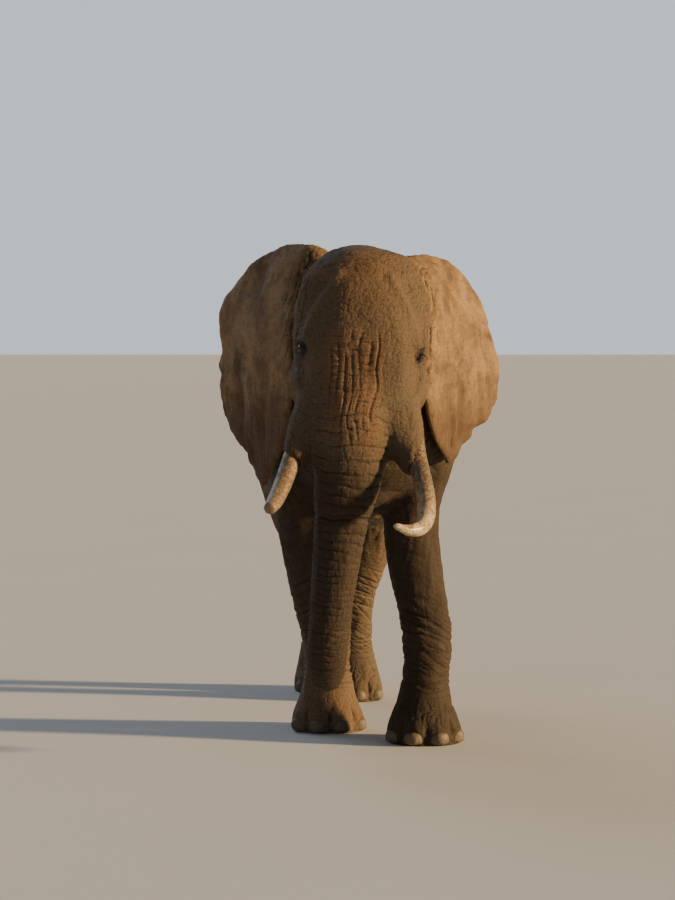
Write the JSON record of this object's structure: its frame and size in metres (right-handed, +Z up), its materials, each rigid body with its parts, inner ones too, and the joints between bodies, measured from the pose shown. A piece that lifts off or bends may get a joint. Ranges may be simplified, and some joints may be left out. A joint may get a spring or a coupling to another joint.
{
  "type": "african elephant",
  "caption": "African savanna elephant bull, life size, walking with its trunk hanging and curled back at the tip and its ears at rest; a still museum model.",
  "frame": {"origin": "middle of the bounding box, on the floor under the soles", "axes": "+Z up; the elephant faces -Y; its own left side is at +X"},
  "size_m": [1.8166, 4.777, 3.1665],
  "materials": {
    "skin": "dry, wrinkled, dusty brown-grey",
    "ivory": "worn satin, cream with grey-brown staining",
    "eye": "wet, dark brown",
    "nail": "dry horn, scuffed",
    "hair": "coarse black hair"
  },
  "bodies": {
    "root": {"head": "skin", "lower_jaw": "skin", "neck": "skin", "shoulders": "skin", "barrel": "skin", "hindquarters": "skin", "trunk_upper": "skin", "trunk_middle": "skin", "trunk_lower": "skin", "trunk_end": "skin", "foreleg_left_upper": "skin", "foreleg_left_lower": "skin", "forefoot_left": "skin", "foreleg_right_upper": "skin", "foreleg_right_lower": "skin", "forefoot_right": "skin", "hind_leg_left_upper": "skin", "hind_leg_left_lower": "skin", "hindfoot_left": "skin", "hind_leg_right_upper": "skin", "hind_leg_right_lower": "skin", "hindfoot_right": "skin", "ear_left": "skin", "ear_right": "skin", "tail": "skin", "tusk_left": "ivory", "tusk_right": "ivory", "eye_left": "eye", "eye_right": "eye", "nail_forefoot_left_1": "nail", "nail_forefoot_left_2": "nail", "nail_forefoot_left_3": "nail", "nail_forefoot_left_4": "nail", "nail_forefoot_right_1": "nail", "nail_forefoot_right_2": "nail", "nail_forefoot_right_3": "nail", "nail_forefoot_right_4": "nail", "nail_hindfoot_left_1": "nail", "nail_hindfoot_left_2": "nail", "nail_hindfoot_left_3": "nail", "nail_hindfoot_right_1": "nail", "nail_hindfoot_right_2": "nail", "nail_hindfoot_right_3": "nail", "tail_tuft": "hair"}
  },
  "joints": []
}
